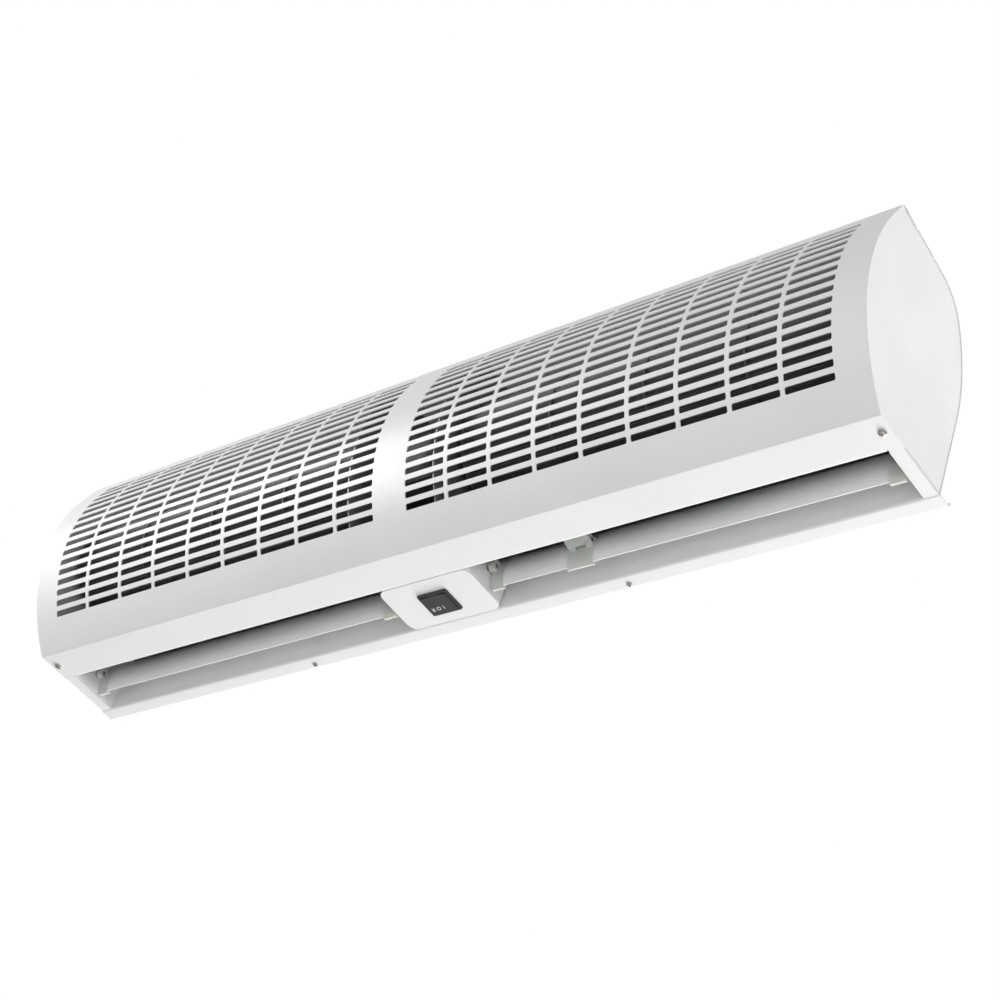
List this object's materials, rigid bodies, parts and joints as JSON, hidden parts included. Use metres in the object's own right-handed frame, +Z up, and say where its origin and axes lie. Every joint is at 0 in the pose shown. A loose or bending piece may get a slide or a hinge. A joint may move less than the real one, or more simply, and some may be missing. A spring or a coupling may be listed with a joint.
{
  "type": "air curtain",
  "caption": "Wall-hung air curtain with a bowed, slotted intake cover, cross-flow impellers either side of a motor, down-blowing outlets with hand-set vanes, and a rocker switch.",
  "frame": {"origin": "middle of the wall bracket's back face, where it lies on the wall", "axes": "+X along the length to the right as seen from the room, +Y into the wall, +Z up"},
  "size_m": [0.9, 0.1487, 0.1892],
  "materials": {
    "white_paint": "semi-gloss white powder coat on sheet steel",
    "zinc_sheet": "galvanised sheet",
    "impeller_aluminium": "dull rolled aluminium",
    "bright_steel": "bright steel",
    "cast_end_bell": "die-cast aluminium",
    "motor_paint": "black varnished laminations",
    "black_plastic": "black moulded plastic",
    "ivory_plastic": "off-white moulded plastic",
    "black_rubber": "black rubber"
  },
  "bodies": {
    "casing": {"front_cover": "white_paint", "rear_casing": "white_paint", "switch_panel": "white_paint", "left_end_plate": "white_paint", "right_end_plate": "white_paint", "left_bulkhead": "white_paint", "right_bulkhead": "white_paint", "motor_cradle": "zinc_sheet", "wall_bracket": "zinc_sheet", "left_partition": "zinc_sheet", "right_partition": "zinc_sheet", "left_stabiliser": "zinc_sheet", "right_stabiliser": "zinc_sheet", "left_scroll_plate": "zinc_sheet", "right_scroll_plate": "zinc_sheet", "left_hanging_clip": "zinc_sheet", "right_hanging_clip": "zinc_sheet", "vane_stay_pin": "bright_steel", "left_vane_inner_pin": "bright_steel", "right_vane_inner_pin": "bright_steel", "left_vane_outer_pin": "bright_steel", "right_vane_outer_pin": "bright_steel", "left_bearing_bush": "bright_steel", "right_bearing_bush": "bright_steel", "left_cover_screw": "bright_steel", "right_cover_screw": "bright_steel", "left_hanging_screw": "bright_steel", "right_hanging_screw": "bright_steel", "left_motor_bell": "cast_end_bell", "right_motor_bell": "cast_end_bell", "motor_stator": "motor_paint", "switch_housing": "black_plastic", "capacitor": "black_plastic", "vane_stay": "ivory_plastic", "terminal_block": "ivory_plastic", "cable_grommet": "black_rubber", "left_bearing_rubber": "black_rubber", "right_bearing_rubber": "black_rubber", "left_motor_ring": "black_rubber", "right_motor_ring": "black_rubber"},
    "fan_rotor": {"motor_shaft": "bright_steel", "left_impeller": "impeller_aluminium", "right_impeller": "impeller_aluminium", "left_stub_shaft": "bright_steel", "right_stub_shaft": "bright_steel"},
    "switch_rocker": {"switch_rocker": "black_plastic"},
    "left_vane": {"left_vane_blade": "white_paint", "left_vane_inner_clip": "ivory_plastic", "left_vane_outer_clip": "ivory_plastic"},
    "right_vane": {"right_vane_blade": "white_paint", "right_vane_inner_clip": "ivory_plastic", "right_vane_outer_clip": "ivory_plastic", "right_vane_middle_clip": "ivory_plastic"}
  },
  "joints": [
    {"name": "fan_spin", "type": "hinge", "parent": "casing", "child": "fan_rotor", "pos_m": [0, -0.0778, 0.03407], "axis": [1, 0, 0], "continuous": true},
    {"name": "switch_rock", "type": "hinge", "parent": "casing", "child": "switch_rocker", "pos_m": [0, -0.0377, -0.069], "axis": [0, 1, 0], "range_deg": [-11, 11]},
    {"name": "left_vane_swing", "type": "hinge", "parent": "casing", "child": "left_vane", "pos_m": [0, -0.04301, -0.051], "axis": [1, 0, 0], "range_deg": [-30, 15]},
    {"name": "right_vane_swing", "type": "hinge", "parent": "casing", "child": "right_vane", "pos_m": [0, -0.04301, -0.051], "axis": [1, 0, 0], "range_deg": [-30, 15]}
  ]
}
